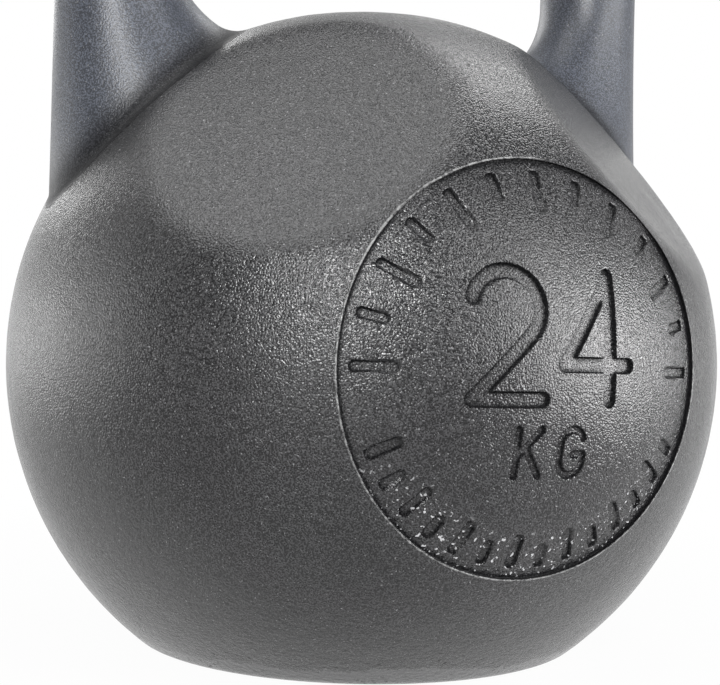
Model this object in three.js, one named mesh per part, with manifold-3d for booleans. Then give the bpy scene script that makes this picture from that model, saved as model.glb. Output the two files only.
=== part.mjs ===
// A kettlebell of competition size: a hollow cast ball, a bent steel handle that is welded on by its
// two flared feet, a heavy fill inside, and a screwed plug that closes the base.
// Millimetres. +Z is up, X runs along the handle, the round panel faces -Y, and the origin is the
// middle of the base.
import * as THREE from "three";
import { mergeVertices } from "three/addons/utils/BufferGeometryUtils.js";
import Module from "manifold-3d";

const wasm = await Module();
wasm.setup();

// ---------- Driving dimensions ----------

// Ball casting
const BALL_RADIUS = 105; // at its widest, half way up
const BALL_HALF_HEIGHT = 104.2; // the ball is a little lower than it is wide
const BASE_RADIUS = 63.8; // edge of the flat that it stands on
const CROWN_CUT = 3; // how much the top is flattened
const WALL = 20;
const BASE_THICKNESS = 18;

// Four round flats on the shoulders, where the bell lies against the forearm
const FLAT_CUT = 8.3; // depth below the round ball
const FLAT_TURN = THREE.MathUtils.degToRad(38.5); // from the front or back towards the side
const FLAT_RISE = THREE.MathUtils.degToRad(38); // above the ball's middle

// Round panel sunk into the front
const PANEL_RADIUS = 51;
const PANEL_DEPTH = 1.1;

// Handle
const OVERALL_HEIGHT = 280;
const HANDLE_WIDTH = 191.6; // outside to outside
const BAR_DIAMETER = 31;
const CORNER_RADIUS = 36; // of the bar's centre line
const FLARE_RISE = 19; // from the crown of the ball up to where the feet start to flare
const INNER_FLARE_RADIUS = 27.3; // towards the other foot
const SIDE_FLARE_RADIUS = 145; // towards the front and back, much gentler
const FOOT_LEAN = THREE.MathUtils.degToRad(51); // of a foot's lowest section towards the outside

// Spigots under the feet, which locate the handle in sockets in the ball
const SPIGOT_DIAMETER = 16;
const SPIGOT_INSET = 8; // from the bar's centre line towards the middle
const SOCKET_FLOOR = 5; // metal left between a socket and the cavity
const SOCKET_END_PLAY = 0.5;

// Fillet weld round each foot
const WELD_LEG = 6;

// Plug in the base, with a six-sided key hole
const PLUG_SHANK_DIAMETER = 40;
const PLUG_SHANK_LENGTH = 9.5;
const PLUG_FLANGE_DIAMETER = 52;
const PLUG_FLANGE_THICKNESS = 5;
const PLUG_CHAMFER = 1;
const PLUG_RECESS = 0.6; // keeps the plug off the floor
const KEY_ACROSS_FLATS = 14;
const KEY_DEPTH = 8;
const WASHER_THICKNESS = 1.5;
const WASHER_WIDTH = 4.5;

// Fill
const FILL_DEPTH = 135; // above the cavity's floor

// Clearance between pieces that seat on each other
const SEAT_GAP = 0.3;

// Smoothness
const BALL_SEGMENTS = 72;
const BAR_SEGMENTS = 32;
const RING_SEGMENTS = 48;

// ---------- Materials ----------

const coating = { roughness: 0.55, metalness: 0.1 };
const ballCoat = new THREE.MeshStandardMaterial({ color: 0x4b4b4d, ...coating });
const handleCoat = new THREE.MeshStandardMaterial({ color: 0x4d4e53, ...coating });
const weldCoat = new THREE.MeshStandardMaterial({ color: 0x48484b, ...coating });
const cementFill = new THREE.MeshStandardMaterial({ color: 0x6b6660, roughness: 0.95, metalness: 0 });
const plugSteel = new THREE.MeshStandardMaterial({ color: 0x6f7073, roughness: 0.45, metalness: 0.9 });
const washerRubber = new THREE.MeshStandardMaterial({ color: 0x161616, roughness: 0.85, metalness: 0 });

// ---------- Making solids ----------

// A closed three.js geometry as a manifold-3d solid.
function solid(geometry) {
  const bare = geometry.clone();
  bare.deleteAttribute("normal");
  bare.deleteAttribute("uv");
  const merged = mergeVertices(bare, 1e-4);
  const vertProperties = new Float32Array(merged.attributes.position.array);
  const triVerts = new Uint32Array(merged.index.array);
  return new wasm.Manifold(new wasm.Mesh({ numProp: 3, vertProperties, triVerts }));
}

// A named mesh of a manifold-3d solid.
function piece(name, body, material) {
  const made = body.getMesh();
  const indexed = new THREE.BufferGeometry();
  indexed.setAttribute("position", new THREE.BufferAttribute(made.vertProperties, 3));
  indexed.setIndex(new THREE.BufferAttribute(made.triVerts, 1));
  const geometry = indexed.toNonIndexed();
  geometry.computeVertexNormals();
  const mesh = new THREE.Mesh(geometry, material);
  mesh.name = name;
  return mesh;
}

// A profile of [radius, height] pairs turned about +Z.
function turned(profile, segments) {
  const points = profile.map(([radius, height]) => new THREE.Vector2(radius, height));
  return solid(new THREE.LatheGeometry(points, segments).rotateX(Math.PI / 2));
}

// An upright rod at some place along X.
function rod(x, radius, lowZ, highZ, segments) {
  const geometry = new THREE.CylinderGeometry(radius, radius, highZ - lowZ, segments);
  return solid(geometry.rotateX(Math.PI / 2).translate(x, 0, (lowZ + highZ) / 2));
}

// A skin over rings of points, each joined to the next. A loop joins the last ring to the first,
// and otherwise both ends are capped.
function loft(rings, loop) {
  const count = rings[0].length;
  const faces = [];
  for (let i = 0; i < (loop ? rings.length : rings.length - 1); i++) {
    const here = i * count;
    const next = ((i + 1) % rings.length) * count;
    for (let j = 0; j < count; j++) {
      const k = (j + 1) % count;
      faces.push(here + j, here + k, next + k, here + j, next + k, next + j);
    }
  }
  const last = (rings.length - 1) * count;
  for (let j = 1; !loop && j < count - 1; j++) {
    faces.push(0, j + 1, j, last, last + j, last + j + 1);
  }
  return solid(new THREE.BufferGeometry().setFromPoints(rings.flat()).setIndex(faces));
}

// The value between low and high at which a rising function reaches zero.
function solve(rising, low, high) {
  for (let i = 0; i < 40; i++) {
    const middle = (low + high) / 2;
    if (rising(middle) < 0) low = middle;
    else high = middle;
  }
  return (low + high) / 2;
}

// ---------- Ball ----------

const ballCentreZ = BALL_HALF_HEIGHT * Math.sqrt(1 - (BASE_RADIUS / BALL_RADIUS) ** 2);
const crownZ = ballCentreZ + BALL_HALF_HEIGHT - CROWN_CUT;
const flatDistance = BALL_RADIUS - FLAT_CUT; // of a shoulder flat from the ball's middle

// Outward direction of each of the four shoulder flats.
const flatDirections = [];
for (const side of [-1, 1]) {
  for (const face of [-1, 1]) {
    const direction = new THREE.Vector3(side * Math.sin(FLAT_TURN), face * Math.cos(FLAT_TURN), 0);
    direction.multiplyScalar(Math.cos(FLAT_RISE)).setZ(Math.sin(FLAT_RISE));
    flatDirections.push(direction);
  }
}

// Profile of a round body about the ball's middle, cut level at a low and a high height.
function roundProfile(radius, halfHeight, lowZ, highZ) {
  const low = Math.asin(Math.max(-1, (lowZ - ballCentreZ) / halfHeight));
  const high = Math.asin(Math.min(1, (highZ - ballCentreZ) / halfHeight));
  const steps = Math.round((BALL_SEGMENTS * (high - low)) / (2 * Math.PI));
  const profile = [[0, ballCentreZ + halfHeight * Math.sin(low)]];
  for (let i = 0; i <= steps; i++) {
    const angle = low + ((high - low) * i) / steps;
    profile.push([radius * Math.cos(angle), ballCentreZ + halfHeight * Math.sin(angle)]);
  }
  if (high < Math.PI / 2) profile.push([0, ballCentreZ + halfHeight * Math.sin(high)]);
  else profile[steps + 1][0] = 0;
  return profile;
}

// The ball without its shoulder flats, grown outwards by some amount.
function roundBody(grow) {
  const radius = BALL_RADIUS + grow;
  const halfHeight = BALL_HALF_HEIGHT + grow;
  return turned(roundProfile(radius, halfHeight, -grow, crownZ + grow), BALL_SEGMENTS);
}

// The ball as a full body, grown outwards by some amount.
function ballBody(grow) {
  const size = 2 * BALL_RADIUS;
  const up = new THREE.Vector3(0, 0, 1);
  let body = roundBody(grow);
  for (const direction of flatDirections) {
    const block = new THREE.BoxGeometry(size, size, size);
    block.translate(0, 0, size / 2 + flatDistance + grow);
    block.applyQuaternion(new THREE.Quaternion().setFromUnitVectors(up, direction));
    body = body.subtract(solid(block.translate(0, 0, ballCentreZ)));
  }
  return body;
}

// Height of the surface of the ball's upper half above some point.
function ballTop(x, y) {
  const reach = Math.max(0, 1 - (x ** 2 + y ** 2) / BALL_RADIUS ** 2);
  let z = Math.min(ballCentreZ + BALL_HALF_HEIGHT * Math.sqrt(reach), crownZ);
  for (const direction of flatDirections) {
    const rise = (flatDistance - direction.x * x - direction.y * y) / direction.z;
    z = Math.min(z, ballCentreZ + rise);
  }
  return z;
}

// The round panel's recess: a rod into the front, stopped by a ball that is smaller all round.
function panelRecess() {
  const geometry = new THREE.CylinderGeometry(PANEL_RADIUS, PANEL_RADIUS, BALL_RADIUS, RING_SEGMENTS);
  geometry.translate(0, -BALL_RADIUS / 2 - PANEL_DEPTH, ballCentreZ);
  return solid(geometry).subtract(roundBody(-PANEL_DEPTH));
}

// ---------- Handle's shape ----------

const barRadius = BAR_DIAMETER / 2;
const shankX = HANDLE_WIDTH / 2 - barRadius;
const gripZ = OVERALL_HEIGHT - barRadius;
const flareTopZ = crownZ + FLARE_RISE;

// A section of the right foot, from its inner to its outer edge, where the inner flare has turned
// by some angle away from upright. It leans over as the flare turns.
function footSection(flareTurn) {
  const outerX = HANDLE_WIDTH / 2;
  const innerX = shankX - barRadius - INNER_FLARE_RADIUS * (1 - Math.cos(flareTurn));
  const innerZ = flareTopZ - INNER_FLARE_RADIUS * Math.sin(flareTurn);
  const lean = (FOOT_LEAN * flareTurn) / (Math.PI / 2);
  const fall = (outerX - innerX) * Math.tan(lean);
  const centre = new THREE.Vector3((innerX + outerX) / 2, 0, innerZ - fall / 2);
  const outwards = new THREE.Vector3((outerX - innerX) / 2, 0, -fall / 2);
  const drop = flareTopZ - centre.z;
  const sideFlare = SIDE_FLARE_RADIUS - Math.sqrt(SIDE_FLARE_RADIUS ** 2 - drop ** 2);
  return { centre, outwards, deep: barRadius + sideFlare };
}

// A point of the right foot's surface: turn goes round the section, from its outer edge.
function footPoint(turn, flareTurn) {
  const { centre, outwards, deep } = footSection(flareTurn);
  return centre.addScaledVector(outwards, Math.cos(turn)).setY(deep * Math.sin(turn));
}

// A point of the corner's surface, where the bar has bent by some angle away from upright.
function cornerPoint(turn, bend) {
  const centre = new THREE.Vector3(shankX - CORNER_RADIUS, 0, gripZ - CORNER_RADIUS);
  const outwards = new THREE.Vector3(Math.cos(bend), 0, Math.sin(bend));
  const reach = CORNER_RADIUS + barRadius * Math.cos(turn);
  return centre.addScaledVector(outwards, reach).setY(barRadius * Math.sin(turn));
}

// Rings of points round the bar, through a quarter turn of a flare or of a corner.
function barRings(pointAt) {
  const bendSteps = 10;
  return Array.from({ length: bendSteps + 1 }, (_, i) => {
    const bend = ((Math.PI / 2) * i) / bendSteps;
    return Array.from({ length: BAR_SEGMENTS }, (_, j) => {
      return pointAt((2 * Math.PI * j) / BAR_SEGMENTS, bend);
    });
  });
}

// The whole bar as one loft, from inside the ball under the right foot, over the grip and down to
// the left foot.
function bentBar() {
  const right = [...barRings(footPoint).reverse(), ...barRings(cornerPoint)];
  const left = right.map((ring) => ring.map((p) => new THREE.Vector3(-p.x, p.y, p.z))).reverse();
  return loft([...right, ...left], false);
}

// ---------- Seats of the handle in the ball ----------

const spigotRadius = SPIGOT_DIAMETER / 2;
const spigotX = shankX - SPIGOT_INSET;

// Height of the cavity's roof at some distance from the middle.
function cavityRoof(x) {
  const reach = Math.max(0, 1 - (x / (BALL_RADIUS - WALL)) ** 2);
  return ballCentreZ + (BALL_HALF_HEIGHT - WALL) * Math.sqrt(reach);
}

const socketFloorZ = cavityRoof(spigotX - spigotRadius - SEAT_GAP) + SOCKET_FLOOR;

function handle() {
  const spigotLowZ = socketFloorZ + SOCKET_END_PLAY;
  const spigotHighZ = ballTop(spigotX - spigotRadius, 0) + WELD_LEG;
  let body = bentBar().subtract(ballBody(SEAT_GAP));
  for (const side of [-1, 1]) {
    body = body.add(rod(side * spigotX, spigotRadius, spigotLowZ, spigotHighZ, BAR_SEGMENTS));
  }
  return body;
}

// ---------- Welds ----------

// Outward normals of the right foot and of the ball's top, from how their surfaces run on.
function footNormal(turn, flareTurn) {
  const step = 1e-4;
  const here = footPoint(turn, flareTurn);
  const onwards = footPoint(turn + step, flareTurn).sub(here);
  const downwards = footPoint(turn, flareTurn + step).sub(here);
  return downwards.cross(onwards).normalize();
}

function ballNormal(x, y) {
  const step = 1e-3;
  const here = ballTop(x, y);
  const slopeX = (ballTop(x + step, y) - here) / step;
  const slopeY = (ballTop(x, y + step) - here) / step;
  return new THREE.Vector3(-slopeX, -slopeY, 1).normalize();
}

// The section of the right weld at some turn round the foot: its root, then its concave face from
// the leg up the foot to the leg out along the ball, all held clear of both.
function weldSection(turn) {
  const sunk = (p) => ballTop(p.x, p.y) - p.z;
  const rootTurn = solve((flareTurn) => sunk(footPoint(turn, flareTurn)), 0, Math.PI / 2);
  const root = footPoint(turn, rootTurn);
  const footSide = footNormal(turn, rootTurn);
  const ballSide = ballNormal(root.x, root.y);
  const slant = footSide.dot(ballSide);
  const away = footSide.clone().addScaledVector(ballSide, -slant).setZ(0).normalize();
  const upFoot = (back) => footPoint(turn, rootTurn - back);
  const alongBall = (distance) => {
    const point = root.clone().addScaledVector(away, distance);
    return point.setZ(ballTop(point.x, point.y));
  };
  const past = (point) => point.distanceTo(root) - WELD_LEG;
  const top = upFoot(solve((back) => past(upFoot(back)), 0, rootTurn));
  const toe = alongBall(solve((distance) => past(alongBall(distance)), 0, WELD_LEG));
  const clear = footSide.clone().add(ballSide).multiplyScalar(SEAT_GAP / (1 + slant));
  const face = new THREE.QuadraticBezierCurve3(top, root, toe).getPoints(4);
  return [root, ...face].map((point) => point.clone().add(clear));
}

// The weld all round one foot.
function weld(side) {
  const sections = [];
  for (let i = 0; i < RING_SEGMENTS; i++) {
    const turn = (side * 2 * Math.PI * i) / RING_SEGMENTS;
    sections.push(weldSection(turn).map((p) => new THREE.Vector3(side * p.x, p.y, p.z)));
  }
  return loft(sections, true);
}

// ---------- Plug, washer and fill ----------

const boreRadius = PLUG_SHANK_DIAMETER / 2 + SEAT_GAP;
const counterboreRadius = PLUG_FLANGE_DIAMETER / 2 + SEAT_GAP;
const flangeTopZ = PLUG_RECESS + PLUG_FLANGE_THICKNESS;
const washerLowZ = flangeTopZ + SEAT_GAP;
const washerTopZ = washerLowZ + WASHER_THICKNESS;
const counterboreZ = washerTopZ + SEAT_GAP;

function basePlug() {
  const flange = PLUG_FLANGE_DIAMETER / 2;
  const shank = PLUG_SHANK_DIAMETER / 2;
  const endZ = flangeTopZ + PLUG_SHANK_LENGTH;
  const profile = [
    [0, PLUG_RECESS],
    [flange - PLUG_CHAMFER, PLUG_RECESS],
    [flange, PLUG_RECESS + PLUG_CHAMFER],
    [flange, flangeTopZ],
    [shank, flangeTopZ],
    [shank, endZ - PLUG_CHAMFER],
    [shank - PLUG_CHAMFER, endZ],
    [0, endZ],
  ];
  const keyRadius = KEY_ACROSS_FLATS / Math.sqrt(3);
  const keyHole = rod(0, keyRadius, 0, PLUG_RECESS + KEY_DEPTH, 6);
  return turned(profile, RING_SEGMENTS).subtract(keyHole);
}

function plugWasher() {
  const outer = boreRadius + WASHER_WIDTH;
  const profile = [
    [boreRadius, washerLowZ],
    [outer, washerLowZ],
    [outer, washerTopZ],
    [boreRadius, washerTopZ],
    [boreRadius, washerLowZ],
  ];
  return turned(profile, RING_SEGMENTS);
}

// What lies inside the wall, up to some height, with some play all round.
function cavityBody(play, topZ) {
  const radius = BALL_RADIUS - WALL - play;
  const halfHeight = BALL_HALF_HEIGHT - WALL - play;
  return turned(roundProfile(radius, halfHeight, BASE_THICKNESS + play, topZ), BALL_SEGMENTS / 2);
}

function ballastCore() {
  return cavityBody(SEAT_GAP, BASE_THICKNESS + FILL_DEPTH);
}

// ---------- Ball casting ----------

function bellShell() {
  const past = 1; // how far a cutter reaches past the faces that it opens
  let body = ballBody(0)
    .subtract(panelRecess())
    .subtract(cavityBody(0, crownZ))
    .subtract(rod(0, boreRadius, -past, BASE_THICKNESS + past, RING_SEGMENTS))
    .subtract(rod(0, counterboreRadius, -past, counterboreZ, RING_SEGMENTS));
  for (const side of [-1, 1]) {
    const socketRadius = spigotRadius + SEAT_GAP;
    body = body.subtract(rod(side * spigotX, socketRadius, socketFloorZ, crownZ, BAR_SEGMENTS));
  }
  return body;
}

// ---------- Assembly ----------

const kettlebell = new THREE.Group();
kettlebell.add(
  piece("bell_shell", bellShell(), ballCoat),
  piece("handle", handle(), handleCoat),
  piece("left_weld", weld(-1), weldCoat),
  piece("right_weld", weld(1), weldCoat),
  piece("ballast_core", ballastCore(), cementFill),
  piece("base_plug", basePlug(), plugSteel),
  piece("plug_washer", plugWasher(), washerRubber),
);

export default kettlebell;
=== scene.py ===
# %% [markdown]
# # A competition-size kettlebell
#
# A kettlebell of this kind is a hollow cast-iron ball with a bent steel handle welded on top. The
# ball has four round flats on its shoulders, a shallow round panel on its front, and a flat base
# that is closed by a plug. All of it is powder coated in dark grey.
#
# A CAD model of the bell already exists, and it settles every size and place. We load it as a
# fixed frame, and then give each visible piece a finer skin, softer edges and a finish.

# %% Load the CAD model
import math

import bmesh
import bpy
import numpy as np
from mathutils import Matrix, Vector, noise


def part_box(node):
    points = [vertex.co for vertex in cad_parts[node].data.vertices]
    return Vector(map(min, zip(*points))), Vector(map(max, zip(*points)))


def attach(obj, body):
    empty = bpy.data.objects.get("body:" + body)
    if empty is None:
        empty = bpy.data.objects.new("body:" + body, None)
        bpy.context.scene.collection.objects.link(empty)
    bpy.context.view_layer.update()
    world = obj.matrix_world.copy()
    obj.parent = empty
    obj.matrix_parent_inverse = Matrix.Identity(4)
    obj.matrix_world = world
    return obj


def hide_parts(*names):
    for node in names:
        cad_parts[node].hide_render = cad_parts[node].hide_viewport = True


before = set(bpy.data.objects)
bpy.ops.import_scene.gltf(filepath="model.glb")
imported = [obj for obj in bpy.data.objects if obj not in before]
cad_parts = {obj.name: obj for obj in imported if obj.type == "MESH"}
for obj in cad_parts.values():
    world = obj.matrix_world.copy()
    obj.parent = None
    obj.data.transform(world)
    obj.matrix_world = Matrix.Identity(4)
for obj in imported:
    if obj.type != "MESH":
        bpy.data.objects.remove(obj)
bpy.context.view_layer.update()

MM = 0.001  # Blender works in metres

shell_high, handle_high, plug_high = [
    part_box(node)[1] for node in ("bell_shell", "handle", "base_plug")
]
print("nodes:", sorted(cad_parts))

# %% [markdown]
# ## The camera
#
# The camera stands a little to the left of the front, level with the ball's middle, and so close
# that the ball fills the frame and the grip is cut off. A long lens from further away would give
# a flatter picture, so the distance matters as much as the angle.

# %% Ball sizes
ball_radius = 105 * MM
ball_half_height = 104.2 * MM
base_radius = 63.8 * MM
ball_middle = ball_half_height * math.sqrt(1 - (base_radius / ball_radius) ** 2)
crown_height = shell_high.z
print(f"the ball's middle is {ball_middle / MM:.1f} mm up, its crown {crown_height / MM:.1f} mm")

# %% Camera
camera_distance = 399 * MM
camera_turn = math.radians(-26.1)  # round the bell, towards its left side
camera_rise = math.radians(0.3)
camera_roll = math.radians(1.4)

towards_camera = Vector((
    math.sin(camera_turn) * math.cos(camera_rise),
    -math.cos(camera_turn) * math.cos(camera_rise),
    math.sin(camera_rise),
))
camera = bpy.data.objects.new("camera", bpy.data.cameras.new("camera"))
bpy.context.scene.collection.objects.link(camera)
camera.location = Vector((0, 0, ball_middle)) + towards_camera * camera_distance
look = (-towards_camera).to_track_quat("-Z", "Y").to_matrix().to_4x4()
camera.rotation_euler = look.to_euler()
camera.rotation_euler.rotate_axis("Z", camera_roll)
camera.data.sensor_width = 36
camera.data.lens = 65.2
camera.data.shift_x = -0.0021
camera.data.shift_y = 0.0294
camera.data.clip_start = 0.01
bpy.context.scene.camera = camera
print(f"camera at {[round(v, 3) for v in camera.location]}")

# %% [markdown]
# ## Skins from rings of points
#
# Every form here can be thought of as a stack of closed rings: level circles for the ball, ovals
# for the handle's feet, little round sections for a weld. Once the rings are points in a NumPy
# array, one helper can join them to a mesh of four-sided faces, whatever the form is. Rings that
# shrink to a single point are merged, and that closes the end.

# %% Helper: a mesh over rings of points
def ring_mesh(name, rings, looped=False, capped=False):
    count, around = rings.shape[:2]
    here = np.arange(count * around).reshape(count, around)
    if looped:
        here = np.vstack([here, here[:1]])
    onward = np.roll(here, -1, axis=1)
    quads = np.stack([here[:-1], onward[:-1], onward[1:], here[1:]], axis=-1).reshape(-1, 4)
    faces = quads.tolist()
    if capped:
        faces.append(here[0][::-1].tolist())
        faces.append(here[-1].tolist())
    mesh = bpy.data.meshes.new(name)
    mesh.from_pydata(rings.reshape(-1, 3).tolist(), [], faces)
    shaping = bmesh.new()
    shaping.from_mesh(mesh)
    bmesh.ops.remove_doubles(shaping, verts=shaping.verts, dist=0.0005 * MM)
    bmesh.ops.recalc_face_normals(shaping, faces=shaping.faces)
    shaping.to_mesh(mesh)
    shaping.free()
    obj = bpy.data.objects.new(name, mesh)
    bpy.context.scene.collection.objects.link(obj)
    return obj


# %% Helper: cut one solid from another
def cut(obj, cutter):
    modifier = obj.modifiers.new("cut", "BOOLEAN")
    modifier.operation = "DIFFERENCE"
    modifier.solver = "MANIFOLD"
    modifier.object = cutter
    bpy.context.view_layer.update()
    evaluated = obj.evaluated_get(bpy.context.evaluated_depsgraph_get())
    result = bpy.data.meshes.new_from_object(evaluated)
    obj.modifiers.clear()
    obj.data = result
    bpy.data.objects.remove(cutter)


# %% Helper: smooth shading, but crisp where the skin turns by more than so many degrees
def shade(obj, edge_angle=35):
    obj.data.shade_smooth()
    obj.data.set_sharp_from_angle(angle=math.radians(edge_angle))
    print(f"{obj.name}: {len(obj.data.polygons)} faces")


# %% [markdown]
# ## The ball
#
# The ball is cast in a sand mould and its flats, crown and base are part of the pattern, so the
# edges between them are soft. A straight cut would leave them too crisp. Instead we ask, for every
# direction out of the ball's middle, how far away the skin is: the round surface and each flat
# give one answer, and a smooth minimum picks the nearest and rounds the edge where two are close.

# %% Directions out of the ball's middle
def directions(polar_angles, turns):
    polar, turn = np.meshgrid(polar_angles, turns, indexing="ij")
    return np.stack(
        [np.sin(polar) * np.cos(turn), np.sin(polar) * np.sin(turn), np.cos(polar)], axis=-1
    )


def around(count):
    return np.arange(count) * 2 * np.pi / count


# %% Helpers: blend two distances, and measure to a flat
def smooth_min(a, b, softness):
    near = np.maximum(softness - np.abs(a - b), 0) / softness
    return np.minimum(a, b) - near**2 * softness / 4


def plane_distance(outward, facing, distance):
    towards = outward @ np.array(facing)
    grazing = 0.05  # a flat that is seen more steeply than this is never met
    return np.where(towards > grazing, distance / np.maximum(towards, grazing), 1.0)


# %% How far out the skin lies
shoulder_softness, crown_softness, base_softness = 2.0 * MM, 3.0 * MM, 2.5 * MM
shoulder_turn = math.radians(38.5)  # from the front or back towards the side
shoulder_rise = math.radians(38)  # above the ball's middle
shoulder_distance = 96.7 * MM
shoulders = [
    (
        side * math.sin(shoulder_turn) * math.cos(shoulder_rise),
        face * math.cos(shoulder_turn) * math.cos(shoulder_rise),
        math.sin(shoulder_rise),
    )
    for side in (-1, 1)
    for face in (-1, 1)
]


def skin_distance(outward):
    flat_part = (outward[..., 0] ** 2 + outward[..., 1] ** 2) / ball_radius**2
    out = 1 / np.sqrt(flat_part + outward[..., 2] ** 2 / ball_half_height**2)
    for shoulder in shoulders:
        flat = plane_distance(outward, shoulder, shoulder_distance)
        out = smooth_min(out, flat, shoulder_softness)
    crown = plane_distance(outward, (0, 0, 1), crown_height - ball_middle)
    out = smooth_min(out, crown, crown_softness)
    return smooth_min(out, plane_distance(outward, (0, 0, -1), ball_middle), base_softness)


# %% [markdown]
# A sand casting is never perfectly even. A little slow noise, a tenth of a millimetre or so, lets
# the reflections wander as they do on iron. It fades out towards the base, which is ground flat.

# %% Unevenness of the casting
def unevenness(points, lump_size, depth):
    values = [noise.noise(Vector(point) / lump_size) for point in points.reshape(-1, 3)]
    return np.array(values).reshape(points.shape[:-1]) * depth


def ball_skin(outward):
    skin = outward * skin_distance(outward)[..., None]
    rough = unevenness(skin, 22 * MM, 0.16 * MM) + unevenness(skin, 5 * MM, 0.05 * MM)
    ground_height = 6 * MM
    above_base = np.clip((skin[..., 2] + ball_middle) / ground_height, 0, 1)
    return skin - outward * (np.abs(rough) * above_base)[..., None]


# %% Ball mesh
fine_part, base_part = np.linspace(0, 150, 251), np.linspace(152, 180, 8)
polar_angles = np.radians(np.concatenate([fine_part, base_part]))
points_round_ball = 540
rings = ball_skin(directions(polar_angles, around(points_round_ball)))
rings[..., 2] += ball_middle
ball = ring_mesh("ball", rings)
print(f"ball blank: {len(ball.data.polygons)} faces")

# %% [markdown]
# ## The round panel
#
# The front carries a sunk round panel, where such a bell shows its mass. Its floor follows the
# ball, and plain marks are sunk a little deeper into it: the mass in the middle and a ring of
# graduation marks round it. The panel is cut with a tool of our own making. The tool is a disc
# whose underside is the panel's floor, so what stands out from the tool sinks into the ball.

# %% Strokes of the numerals
def arc(middle_x, middle_y, radius, start, end, steps=14):
    turns = np.radians(np.linspace(start, end, steps))
    return [(middle_x + radius * math.cos(t), middle_y + radius * math.sin(t)) for t in turns]


# Each glyph is a list of strokes in a box one unit tall.
glyphs = {
    "2": [arc(0, 0.71, 0.29, 165, -38) + [(-0.29, 0.0), (0.31, 0.0)]],
    "4": [[(0.14, 0.0), (0.14, 1.0), (-0.33, 0.28), (0.34, 0.28)]],
    "K": [[(-0.26, 0.0), (-0.26, 1.0)], [(0.3, 1.0), (-0.26, 0.4)], [(-0.06, 0.6), (0.32, 0.0)]],
    "G": [
        arc(0.04, 0.69, 0.31, 25, 180, 10)
        + arc(0.04, 0.31, 0.31, 180, 360, 10)
        + [(0.35, 0.46), (0.08, 0.46)]
    ],
}


def place_glyph(letter, height, middle_x, foot_y):
    return [
        [(middle_x + x * height, foot_y + y * height) for x, y in stroke]
        for stroke in glyphs[letter]
    ]


digit_height, digit_offset, digit_foot = 30 * MM, 12.5 * MM, -7 * MM
unit_height, unit_offset, unit_foot = 11 * MM, 6 * MM, -25 * MM
mass_strokes = place_glyph("2", digit_height, -digit_offset, digit_foot)
mass_strokes += place_glyph("4", digit_height, digit_offset, digit_foot)
unit_strokes = place_glyph("K", unit_height, -unit_offset, unit_foot)
unit_strokes += place_glyph("G", unit_height, unit_offset, unit_foot)

# %% Ring of graduation marks
def graduation(turn, inner, outer):
    across, up = math.cos(turn), math.sin(turn)
    return [(inner * across, inner * up), (outer * across, outer * up)]


ring_radius = 47 * MM  # where every mark ends
ring_strokes = []
for i in range(13):  # over the top, every 15 degrees: long and short in turn
    inner = 39 * MM if i % 2 == 0 else 42.5 * MM
    ring_strokes.append(graduation(math.radians(15 * i), inner, ring_radius))
for i in range(14):  # along the bottom, every 10 degrees: finer
    inner = 41 * MM if i % 2 == 0 else 43.5 * MM
    ring_strokes.append(graduation(math.radians(205 + 10 * i), inner, ring_radius))
print(f"{len(ring_strokes)} graduation marks")

# %% Depth of the marks
def distance_to_strokes(x, y, strokes):
    nearest = np.full(x.shape, 1.0)
    for stroke in strokes:
        for (ax, ay), (bx, by) in zip(stroke, stroke[1:]):
            length = (bx - ax) ** 2 + (by - ay) ** 2
            along = np.clip(((x - ax) * (bx - ax) + (y - ay) * (by - ay)) / length, 0, 1)
            gap = np.hypot(x - ax - along * (bx - ax), y - ay - along * (by - ay))
            nearest = np.minimum(nearest, gap)
    return nearest


def sunk(x, y, strokes, half_width, depth, slope=0.35 * MM):
    inside = np.clip((half_width - distance_to_strokes(x, y, strokes)) / slope + 0.5, 0, 1)
    return depth * inside**2 * (3 - 2 * inside)


def mark_depth(x, y):
    depth = sunk(x, y, mass_strokes, 1.8 * MM, 1.1 * MM)
    depth = np.maximum(depth, sunk(x, y, unit_strokes, 0.85 * MM, 0.8 * MM))
    return np.maximum(depth, sunk(x, y, ring_strokes, 1.3 * MM, 0.8 * MM))


# %% The cutting tool
panel_radius, panel_depth = 51 * MM, 1.1 * MM
marks_end = 48.5 * MM  # no mark reaches further out
points_round_panel = 600


def front_of_ball(x, up, grow):
    radius, half_height = ball_radius + grow, ball_half_height + grow
    return -radius * np.sqrt(1 - (x / radius) ** 2 - (up / half_height) ** 2)


def panel_rings(radii, grow):
    turn = around(points_round_panel)
    radii = np.asarray(radii)[:, None]
    x, up = radii * np.cos(turn), radii * np.sin(turn)
    depth = np.where(radii < marks_end, mark_depth(x, up), 0)
    y = front_of_ball(x, up, np.asarray(grow)[:, None] - depth)
    return np.stack([x, y, up + ball_middle], axis=-1)


floor_radii = np.linspace(0, panel_radius - 0.6 * MM, 146)
panel_floor = panel_rings(floor_radii, np.full(floor_radii.shape, -panel_depth))
wall_radii = panel_radius + np.array([-0.3, -0.05, 0, 0.05, 0.3]) * MM
wall = panel_rings(wall_radii, np.array([-1.06, -0.9, -0.6, -0.15, 0.1]) * MM)
clear = wall[-1:].copy()
clear[..., 1] = -ball_radius - 5 * MM
clear_middle = clear.mean(axis=1, keepdims=True).repeat(points_round_panel, axis=1)
panel_tool = ring_mesh("panel_tool", np.concatenate([panel_floor, wall, clear, clear_middle]))
cut(ball, panel_tool)
print(f"after the panel: {len(ball.data.polygons)} faces")

# %% [markdown]
# ## The hole in the base
#
# The ball is filled through a hole in its base, and a plug with a flange closes it. The flange
# sits in a stepped seat, so we cut the seat and the bore with one turned tool.

# %% Turned tool for the plug's seat
def turned(name, profile, segments=144):
    turn = around(segments)
    rings = [[(r * math.cos(t), r * math.sin(t), z) for t in turn] for r, z in profile]
    return ring_mesh(name, np.array(rings))


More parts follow.
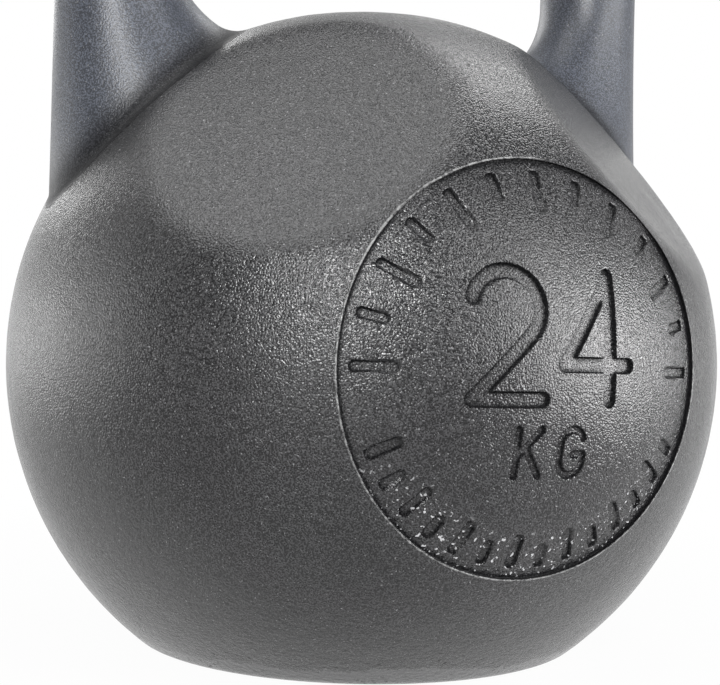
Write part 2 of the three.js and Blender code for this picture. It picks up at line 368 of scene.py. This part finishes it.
seat_gap = 0.3 * MM
seat_radius, seat_top = plug_high.x + seat_gap, 7.7 * MM
bore_radius, bore_top = 20.3 * MM, plug_high.z + 2 * MM
below = -2 * MM
seat_tool = turned("seat_tool", [
    (0, below), (seat_radius, below), (seat_radius, seat_top),
    (bore_radius, seat_top), (bore_radius, bore_top), (0, bore_top),
])
cut(ball, seat_tool)
shade(ball)
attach(ball, "root")
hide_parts("bell_shell")

# %% [markdown]
# ## The handle
#
# The handle is one round bar with two bent corners. Each end widens into a foot: towards the
# other foot it flares quickly, on a small circle, and towards the front and back it swells slowly.
# The outside stays straight. Each section of a foot is an oval that leans over as the flare turns,
# and the bar above it is a stack of circles that follow the bend.

# %% Handle sizes
bar_radius = 15.5 * MM
outer_edge = handle_high.x
shank_x = outer_edge - bar_radius
grip_height = handle_high.z - bar_radius
corner_radius = 36 * MM
flare_top = crown_height + 19 * MM
inner_flare = 27.3 * MM
side_flare = 145 * MM
foot_lean = math.radians(51)
print(f"hand clearance under the grip: {(grip_height - bar_radius - crown_height) / MM:.0f} mm")

# %% Sections of a foot
def foot_points(turn, flare_turn):
    inner_x = shank_x - bar_radius - inner_flare * (1 - np.cos(flare_turn))
    inner_z = flare_top - inner_flare * np.sin(flare_turn)
    fall = (outer_edge - inner_x) * np.tan(foot_lean * flare_turn / (np.pi / 2))
    drop = flare_top - inner_z + fall / 2
    deep = bar_radius + side_flare - np.sqrt(side_flare**2 - drop**2)
    x = (inner_x + outer_edge) / 2 + (outer_edge - inner_x) / 2 * np.cos(turn)
    z = inner_z - fall / 2 - fall / 2 * np.cos(turn)
    return np.stack([x, deep * np.sin(turn), z], axis=-1)


# %% Sections of a corner
def corner_points(turn, bend):
    reach = corner_radius + bar_radius * np.cos(turn)
    x = shank_x - corner_radius + reach * np.cos(bend)
    z = grip_height - corner_radius + reach * np.sin(bend)
    return np.stack([x, bar_radius * np.sin(turn) + 0 * bend, z], axis=-1)


# %% Handle mesh
quarter = np.linspace(0, np.pi / 2, 31)[:, None]
bar_turns = around(120)[None, :]
right_half = np.concatenate([
    foot_points(bar_turns, quarter)[::-1], corner_points(bar_turns, quarter)
])
left_half = right_half[::-1] * np.array([-1, 1, 1])
handle = ring_mesh("handle_bar", np.concatenate([right_half, left_half]), capped=True)
shade(handle, 60)
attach(handle, "root")
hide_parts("handle")

# %% [markdown]
# ## The welds
#
# Each foot is welded all round, and the weld is dressed to a smooth hollow before coating, so the
# eye reads ball and handle as one flowing form. We walk round the foot, find where it meets the
# ball, and bridge the corner there with a curve that leaves both surfaces at a tangent. The weld
# is tighter on the outside of the foot, where the corner is open, and fuller on the inside.

# %% Where a foot meets the ball
def unit(vectors):
    return vectors / np.linalg.norm(vectors, axis=-1, keepdims=True)


def ball_top(x, y):
    up = np.full(x.shape, ball_radius)
    for _ in range(25):  # each round looks along a better direction
        reach = skin_distance(unit(np.stack([x, y, up], axis=-1)))
        up = np.sqrt(np.maximum(reach**2 - x**2 - y**2, 0))
    return ball_middle + up


def meeting_turns(turn):
    low, high = np.zeros(turn.shape), np.full(turn.shape, np.pi / 2)
    for _ in range(40):
        middle = (low + high) / 2
        x, y, z = np.moveaxis(foot_points(turn, middle), -1, 0)
        buried = z < ball_top(x, y)
        low, high = np.where(buried, low, middle), np.where(buried, middle, high)
    return low


# %% Section of a weld
weld_turns = around(180)
outer_leg, inner_leg = 2.0 * MM, 4.8 * MM
weld_leg = (outer_leg + inner_leg) / 2 + (outer_leg - inner_leg) / 2 * np.cos(weld_turns)
root_turns = meeting_turns(weld_turns)
roots = foot_points(weld_turns, root_turns)


def foot_normals(turn, flare_turn, step=1e-4):
    here = foot_points(turn, flare_turn)
    onwards = foot_points(turn + step, flare_turn) - here
    downwards = foot_points(turn, flare_turn + step) - here
    return unit(np.cross(downwards, onwards))


def ball_normals(x, y, step=1e-5):
    here = ball_top(x, y)
    slope_x = (ball_top(x + step, y) - here) / step
    slope_y = (ball_top(x, y + step) - here) / step
    return unit(np.stack([-slope_x, -slope_y, np.ones(x.shape)], axis=-1))


def distance_from_root(points):
    return np.linalg.norm(points - roots, axis=-1)


def reach_leg(points_at, longest):
    low, high = np.zeros(weld_turns.shape), longest + np.zeros(weld_turns.shape)
    for _ in range(40):
        middle = (low + high) / 2
        short = distance_from_root(points_at(middle)) < weld_leg
        low, high = np.where(short, middle, low), np.where(short, high, middle)
    return points_at(low)


foot_side = foot_normals(weld_turns, root_turns)
ball_side = ball_normals(roots[:, 0], roots[:, 1])
slant = np.sum(foot_side * ball_side, axis=-1, keepdims=True)
away = unit((foot_side - ball_side * slant) * np.array([1, 1, 0]))


def along_ball(distance):
    x, y = roots[:, 0] + away[:, 0] * distance, roots[:, 1] + away[:, 1] * distance
    return np.stack([x, y, ball_top(x, y)], axis=-1)


weld_tops = reach_leg(lambda back: foot_points(weld_turns, root_turns - back), root_turns)
weld_toes = reach_leg(along_ball, weld_leg.max())
print(f"weld legs of {weld_leg.min() / MM:.1f} to {weld_leg.max() / MM:.1f} mm")

# %% Weld meshes
steps = np.linspace(0, 1, 13)[:, None, None]
face = (1 - steps) ** 2 * weld_tops + 2 * steps * (1 - steps) * roots + steps**2 * weld_toes
tuck = 0.6 * MM  # how far the edges go under the two skins
deep_root = roots - (foot_side + ball_side) * 1.0 * MM
tucked_top = weld_tops - foot_side * tuck
tucked_toe = weld_toes - ball_side * tuck
sections = np.concatenate([deep_root[None], tucked_top[None], face, tucked_toe[None]])
sections = np.moveaxis(sections, 0, 1)
for side, name in ((1, "right"), (-1, "left")):
    bead = ring_mesh(f"{name}_weld_bead", sections * np.array([side, 1, 1]), looped=True)
    shade(bead, 60)
    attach(bead, "root")
    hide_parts(f"{name}_weld")

# %% [markdown]
# ## Finishes
#
# Every finish here is built from the same few steps: measure something about a point of the
# surface (noise of a real size, its height, its distance from an axis), turn that into a share
# between 0 and 1, and use the share to mix colours, roughness or height. The helpers below are
# those steps. A shader number that is the same all over is set straight on its socket.

# %% Helper: nodes of one tree
class NodeTree:
    def __init__(self, tree):
        self.nodes, self.links = tree.nodes, tree.links
        coordinates = self.nodes.new("ShaderNodeTexCoord")
        self.place, self.direction = coordinates.outputs["Object"], coordinates.outputs["Generated"]

    def feed(self, socket, value):
        if hasattr(value, "is_output"):
            self.links.new(value, socket)
        else:
            socket.default_value = value

    def node(self, kind, **inputs):
        node = self.nodes.new("ShaderNode" + kind)
        for name, value in inputs.items():
            self.feed(node.inputs[name.replace("_", " ")], value)
        return node

    def math(self, operation, a, b=0.0):
        node = self.node("Math")
        node.operation = operation
        self.feed(node.inputs[0], a)
        self.feed(node.inputs[1], b)
        return node.outputs[0]


class Finish(NodeTree):
    def __init__(self, name):
        self.material = bpy.data.materials.new(name)
        self.material.use_nodes = True
        super().__init__(self.material.node_tree)
        self.shader = self.nodes["Principled BSDF"]


# %% Helper: noise of a real size
def noise_of(tree, size, detail=2.0, stretch=(1, 1, 1)):
    stretched = tree.node("VectorMath")
    stretched.operation = "MULTIPLY"
    tree.feed(stretched.inputs[0], tree.place)
    stretched.inputs[1].default_value = stretch
    place = stretched.outputs["Vector"]
    return tree.node("TexNoise", Scale=1 / size, Detail=detail, Vector=place).outputs["Fac"]


# %% Helper: height, sideways place and distance of a point
def axis_of(tree, vector, name):
    return tree.node("SeparateXYZ", Vector=vector).outputs[name]


def distance_from(tree, point, stretch=(1, 1, 1)):
    away = tree.node("VectorMath")
    away.operation = "SUBTRACT"
    tree.feed(away.inputs[0], tree.place)
    away.inputs[1].default_value = point
    scaled = tree.node("VectorMath")
    scaled.operation = "MULTIPLY"
    tree.feed(scaled.inputs[0], away.outputs[0])
    scaled.inputs[1].default_value = stretch
    length = tree.node("VectorMath")
    length.operation = "LENGTH"
    tree.feed(length.inputs[0], scaled.outputs[0])
    return length.outputs["Value"]


# %% Helper: a share that goes smoothly from 0 to 1 as a value goes from start to end
def share(tree, value, start, end):
    fade = tree.node("MapRange", Value=value, From_Min=start, From_Max=end)
    fade.interpolation_type = "SMOOTHSTEP"
    return fade.outputs["Result"]


def between(tree, amount, a, b):
    return tree.node("MapRange", Value=amount, To_Min=a, To_Max=b).outputs["Result"]


# %% Helper: mix two colours by a share
def mix_colours(tree, amount, a, b):
    mix = tree.nodes.new("ShaderNodeMix")
    mix.data_type = "RGBA"
    tree.feed(mix.inputs[0], amount)
    for socket, colour in zip(mix.inputs[6:8], (a, b)):
        tree.feed(socket, (*colour, 1) if isinstance(colour, tuple) else colour)
    return mix.outputs[2]


# %% Helper: product of several shares
def product(tree, first, *others):
    for other in others:
        first = tree.math("MULTIPLY", first, other)
    return first


# %% Helper: raise the surface by a share of a depth
def bump(tree, height, depth, below=None):
    node = tree.node("Bump", Height=height, Distance=depth)
    if below:
        tree.feed(node.inputs["Normal"], below)
    return node.outputs["Normal"]


# %% [markdown]
# ## Powder coat
#
# Powder coat is a tough paint, baked on, with a fine grain like the skin of an orange. The grains
# differ a little in colour, and here and there a lighter speck is painted in: a painted highlight
# for a grain that stands proud and catches the light. Over a sand casting the coat also follows the
# iron's own roughness, and it is never quite even.
#
# In corners the colour is painted darker and the gloss is turned down. This is painted shade,
# for the little light that gets in there. An Ambient Occlusion node tells how open each point is.
# The floor isn't part of the bell, so corners only count above it.

# %% Helper: painted shade, by how deep in a corner a point lies
def painted_corner_shade(coat, seam_shade):
    open_share = coat.node("AmbientOcclusion", Distance=9 * MM).outputs["AO"]
    off_floor = share(coat, axis_of(coat, coat.place, "Z"), 8 * MM, 16 * MM)
    corner = product(coat, share(coat, open_share, 0.97, 0.58), off_floor)
    return coat.math("MAXIMUM", corner, seam_shade)


# %% Powder coat
grain_size, sparkle_size, casting_size, cloud_size = 0.42 * MM, 0.6 * MM, 1.6 * MM, 25 * MM
sparkle_colour = (0.16, 0.16, 0.165)
corner_shade_gloss = 0.03


def powder_coat(coat, dark, light, casting_depth, gloss, seam_shade=0.0):
    coat.grain = noise_of(coat, grain_size, detail=0)
    painted_sparkle = share(coat, noise_of(coat, sparkle_size, detail=1), 0.7, 0.76)
    casting = noise_of(coat, casting_size, detail=4, stretch=(1, 1, 1.8))
    clouds = share(coat, noise_of(coat, cloud_size, detail=3), 0.35, 0.65)
    corner = painted_corner_shade(coat, seam_shade)
    colour = mix_colours(coat, share(coat, coat.grain, 0.38, 0.68), dark, light)
    colour = mix_colours(coat, between(coat, clouds, 0.25, 0.0), colour, dark)
    # Painted highlight: light flecks where a grain would catch the light.
    colour = mix_colours(coat, painted_sparkle, colour, sparkle_colour)
    # Painted shade: the colour darkens in corners and along the weld line.
    coat.colour = mix_colours(coat, product(coat, corner, 0.8), colour, dark)
    # Painted shade also turns the gloss down there.
    shade_dulling = share(coat, corner, 0.0, 0.9)
    coat.feed(coat.shader.inputs["Specular IOR Level"], between(coat, shade_dulling, gloss, corner_shade_gloss))
    coat.roughness = between(coat, clouds, 0.19, 0.24)
    coat.surface = bump(coat, casting, casting_depth)


def close(finish):
    for name, value in (
        ("Base Color", finish.colour), ("Roughness", finish.roughness), ("Normal", finish.surface)
    ):
        finish.feed(finish.shader.inputs[name], value)
    return finish.material


# %% [markdown]
# A steel bar is smoother than a casting, so the handle's coat is nearly even. It is also a little
# lighter and bluer than the ball's. Close to the ball it takes on the ball's colour, and along the
# weld it gets the same painted shade as any corner, dark and dull. The distance from the ball's
# middle tells where.

# %% Coat of the handle and its welds
ball_dark, ball_light = (0.006, 0.006, 0.0065), (0.044, 0.044, 0.046)
bar_dark, bar_light = (0.018, 0.020, 0.026), (0.066, 0.074, 0.093)

handle_finish = Finish("handle_coat")
out = distance_from(handle_finish, (0, 0, ball_middle))
up_foot = share(handle_finish, out, 104 * MM, 113 * MM)
powder_coat(
    handle_finish,
    mix_colours(handle_finish, up_foot, ball_dark, bar_dark),
    mix_colours(handle_finish, up_foot, ball_light, bar_light),
    casting_depth=0.04 * MM,
    gloss=0.55,
    # Painted shade along the weld line at the foot of the handle.
    seam_shade=product(handle_finish, share(handle_finish, out, 112 * MM, 106 * MM), 0.62),
)
handle_finish.surface = bump(handle_finish, handle_finish.grain, 0.06 * MM, handle_finish.surface)
handle_finish.roughness = handle_finish.math("ADD", handle_finish.roughness, 0.17)
handle_coat = close(handle_finish)
for name in ("handle_bar", "left_weld_bead", "right_weld_bead"):
    bpy.data.objects[name].data.materials.append(handle_coat)

# %% [markdown]
# The ball's coat has more to show. Low on the ball the mould left fine level wrinkles, and the coat
# is somewhat glossier. The base is ground flat after casting, so a narrow smooth band runs round
# its foot, with an uneven upper edge. It is painted lighter, partly for the ground iron and partly
# as a painted highlight along the base edge. The grinding opens small pits just above it, and they
# are painted darker, as painted shade in the holes.

# %% Wrinkles and gloss low on the ball
coat = Finish("ball_coat")
height = axis_of(coat, coat.place, "Z")
wrinkled = share(coat, height, 70 * MM, 15 * MM)
casting_depth = between(coat, wrinkled, 0.05 * MM, 0.40 * MM)
gloss = between(coat, share(coat, height, 80 * MM, 20 * MM), 0.5, 0.8)
powder_coat(coat, ball_dark, ball_light, casting_depth, gloss)

# %% Ground band and pits round the base
waver = between(coat, noise_of(coat, 30 * MM), -4 * MM, 4 * MM)
frayed = between(coat, noise_of(coat, 4 * MM, detail=4), -2 * MM, 2 * MM)
ragged = coat.math("ADD", coat.math("ADD", height, frayed), waver)
band = share(coat, ragged, 5.4 * MM, 4.6 * MM)
cells = coat.node("TexVoronoi", Scale=1 / (1.9 * MM), Vector=coat.place).outputs["Distance"]
near_band = share(coat, ragged, 12 * MM, 5 * MM)
patchy = share(coat, noise_of(coat, 5 * MM), 0.48, 0.6)
pits = product(coat, share(coat, cells, 0.34, 0.12), near_band, patchy)
# Painted shade: the pits are darkened, as shade in the holes.
coat.colour = mix_colours(coat, pits, coat.colour, (0.008, 0.008, 0.008))
# The band is painted lighter: partly ground iron, partly a painted highlight along the base edge.
coat.colour = mix_colours(coat, product(coat, band, 0.7), coat.colour, (0.10, 0.10, 0.102))
coat.surface = bump(coat, coat.math("SUBTRACT", 1.0, pits), 0.5 * MM, coat.surface)

# %% [markdown]
# Round the panel a hair of casting flash pokes through the coat. It is painted as a thin, broken,
# bright line on the left and below, partly the flash itself and partly a painted highlight where
# the panel's edge catches the light. At the bottom of the panel the powder pooled while it baked,
# and set in shiny beads, whose glint spots are painted in as light colour.

# %% Flash line and painted highlight round the panel
front = share(coat, axis_of(coat, coat.place, "Y"), 0.0, -20 * MM)
panel_reach = distance_from(coat, (0, 0, ball_middle), (1, 0, 1))
broken = share(coat, noise_of(coat, 1.3 * MM, detail=3), 0.4, 0.6)
off_line = coat.math("ABSOLUTE", coat.math("SUBTRACT", panel_reach, panel_radius + 0.35 * MM))
line = share(coat, off_line, between(coat, broken, 0.12 * MM, 0.38 * MM), 0.05 * MM)
on_left = share(coat, axis_of(coat, coat.place, "X"), 10 * MM, -12 * MM)
below_middle = share(coat, height, ball_middle + 20 * MM, ball_middle - 5 * MM)
highlit_part = coat.math("MAXIMUM", on_left, below_middle)
flash_and_highlight = product(coat, front, line, between(coat, broken, 0.35, 1.0), highlit_part)
# Painted highlight: the bright line sits where the panel's edge catches the light.
coat.colour = mix_colours(coat, flash_and_highlight, coat.colour, (0.2, 0.2, 0.2))
coat.surface = bump(coat, flash_and_highlight, 0.12 * MM, coat.surface)

# %% Pooled coat at the bottom of the panel, with painted glint spots
rim_share = share(coat, panel_reach, 38 * MM, 42 * MM)
inside_wall = share(coat, panel_reach, panel_radius, panel_radius - 1 * MM)
bottom_share = share(coat, height, ball_middle - 15 * MM, ball_middle - 35 * MM)
beads = noise_of(coat, 1.1 * MM, detail=1)
bead_share = share(coat, beads, 0.5, 0.62)
pooled = product(coat, front, rim_share, inside_wall, bottom_share, bead_share)
painted_glints = product(coat, pooled, share(coat, beads, 0.66, 0.72))
# Painted highlight: bright glint spots on the pooled beads.
coat.colour = mix_colours(coat, painted_glints, coat.colour, (0.4, 0.4, 0.41))
coat.surface = bump(coat, pooled, 0.2 * MM, coat.surface)
coat.roughness = coat.math("SUBTRACT", coat.roughness, product(coat, pooled, 0.12))

# %% Grain, where the coat is not smooth
smooth = coat.math("MAXIMUM", pooled, band)
grain = product(coat, coat.grain, between(coat, smooth, 1.0, 0.25))
coat.surface = bump(coat, grain, 0.17 * MM, coat.surface)
ball.data.materials.clear()
ball.data.materials.append(close(coat))
print("coats:", handle_coat.name, coat.material.name)

# %% [markdown]
# ## Plug, washer and fill
#
# These three keep their CAD meshes, because their shapes are right as they are. They only need
# finishes: a turned steel plug, a rubber washer behind its flange, and rough set cement inside.

# %% Plain finishes
def plain_finish(name, dark, light, grain, depth, roughness, metallic=0.0):
    finish = Finish(name)
    speckle = noise_of(finish, grain)
    finish.colour = mix_colours(finish, share(finish, speckle, 0.3, 0.7), dark, light)
    finish.surface = bump(finish, speckle, depth)
    finish.roughness = between(finish, speckle, roughness - 0.08, roughness + 0.08)
    finish.shader.inputs["Metallic"].default_value = metallic
    return close(finish)


finishes = {
    "base_plug": plain_finish(
        "plug_steel", (0.14, 0.14, 0.145), (0.22, 0.22, 0.225),
        grain=1.0 * MM, depth=0.02 * MM, roughness=0.42, metallic=1.0,
    ),
    "plug_washer": plain_finish(
        "washer_rubber", (0.008, 0.008, 0.008), (0.014, 0.014, 0.014),
        grain=0.8 * MM, depth=0.02 * MM, roughness=0.7,
    ),
    "ballast_core": plain_finish(
        "cement_fill", (0.12, 0.11, 0.1), (0.2, 0.185, 0.17),
        grain=2.5 * MM, depth=0.3 * MM, roughness=0.9,
    ),
}
for node, material in finishes.items():
    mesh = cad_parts[node].data
    mesh.materials.clear()
    mesh.materials.append(material)
    print(f"{node}: {material.name}")

# %% [markdown]
# ## Floor, backdrop and light
#
# The bell stands in a white studio. Straight from the camera the world and the floor are plain
# white, by way of the Light Path node, while the lamps stay at a plain level. In reflections the
# backdrop is white too, but the room behind the camera is dim, as it is in a real studio, and the
# backdrop is a little dimmer high up. That gives the front of the bell its depth.

# %% World
world = bpy.data.worlds.new("studio")
bpy.context.scene.world = world
world.use_nodes = True
sky = NodeTree(world.node_tree)
path = sky.node("LightPath").outputs
mirrored = sky.math("MAXIMUM", path["Is Glossy Ray"], path["Is Transmission Ray"])
backwards = share(sky, axis_of(sky, sky.direction, "Y"), -0.6, 0.4)
upwards = share(sky, axis_of(sky, sky.direction, "Z"), 0.1, 0.45)
backdrop = product(sky, between(sky, backwards, 0.12, 1.0), between(sky, upwards, 1.0, 0.75))
white = sky.math("MAXIMUM", path["Is Camera Ray"], product(sky, mirrored, backdrop))
ambient = 0.02
background = sky.nodes["Background"]
background.inputs["Color"].default_value = (1, 1, 1, 1)
sky.feed(background.inputs["Strength"], sky.math("MAXIMUM", white, ambient))

# %% Floor
floor_size = 6.0
bpy.ops.mesh.primitive_plane_add(size=floor_size)
floor = bpy.context.object
floor.name = "floor"
paint = Finish("floor_paint")
paint.shader.inputs["Base Color"].default_value = (0.45, 0.45, 0.45, 1)
paint.shader.inputs["Roughness"].default_value = 0.9
paint.shader.inputs["Specular IOR Level"].default_value = 0.0
floor.data.materials.append(paint.material)

# %% [markdown]
# The paint is only middling grey, so that it throws little light up under the ball. The camera sees
# nearly plain white instead: the floor keeps a little of its own shading near the bell, so that the
# soft shadow there still shows. In reflections its part towards the camera is dim, like the room.

# %% White of the floor
path = paint.node("LightPath").outputs
seen = between(paint, share(paint, distance_from(paint, (0, 0, 0)), 0.1, 0.4), 0.97, 1.0)
mirrored = paint.math("MAXIMUM", path["Is Glossy Ray"], path["Is Transmission Ray"])
x, y = axis_of(paint, paint.place, "X"), axis_of(paint, paint.place, "Y")
from_camera = paint.math("ADD", y, product(paint, x, 0.5))
backdrop = between(paint, share(paint, from_camera, -0.13, -0.07), 0.05, 1.0)
white = paint.math(
    "MAXIMUM", product(paint, path["Is Camera Ray"], seen), product(paint, mirrored, backdrop)
)
glow = paint.node("Emission").outputs["Emission"]
mix = paint.node("MixShader", Fac=white)
paint.feed(mix.inputs[1], paint.shader.outputs["BSDF"])
paint.feed(mix.inputs[2], glow)
paint.feed(paint.nodes["Material Output"].inputs["Surface"], mix.outputs["Shader"])

# %% [markdown]
# Ten softboxes stand round the bell, all at the same distance. Two key lights on the right light
# the panel and the ball's right edge, and a third, higher, fills the front. The two small ones left
# of the camera draw the highlight below the left shoulder flat and the stripe down the left horn.
# The large ones above light the flats, and those at the left and behind draw soft rims.

# %% Helper: a softbox, placed by its turn round the bell and its rise in degrees
def softbox(name, turn, rise, size, watts, distance=1.1):
    turn, rise = math.radians(turn), math.radians(rise)
    level = math.cos(rise)
    away = Vector((math.sin(turn) * level, -math.cos(turn) * level, math.sin(rise)))
    light = bpy.data.lights.new(name, "AREA")
    light.shape = "RECTANGLE"
    light.size, light.size_y = size
    light.energy = watts
    obj = bpy.data.objects.new(name, light)
    bpy.context.scene.collection.objects.link(obj)
    obj.location = Vector((0, 0, ball_middle)) + away * distance
    obj.rotation_euler = (-away).to_track_quat("-Z", "Y").to_euler()


# %% Lamps
softbox("key_right", 49, 3, (1.0, 0.3), 13)
softbox("key_high", 44, 16, (0.5, 0.4), 3.2)
softbox("front_left", -32, 23, (0.22, 0.22), 9)
softbox("front_right", 20, 30, (0.4, 0.4), 4.2)
softbox("left_low", 250, 4, (0.6, 0.4), 1.8)
softbox("rim_left", 220, 3, (0.7, 0.25), 1.5)
softbox("above_left", 285, 65, (0.8, 0.8), 6.2)
softbox("above_right", 120, 62, (0.6, 0.6), 5.5)
softbox("behind", 190, 30, (0.6, 0.5), 3)
softbox("front_low", -42, 3, (0.3, 0.3), 1.8)

# %% [markdown]
# ## Colour
#
# The picture uses the Standard view transform. The dressed bell has to stay inside the
# CAD model's box.

# %% Standard view transform
bpy.context.scene.view_settings.view_transform = "Standard"
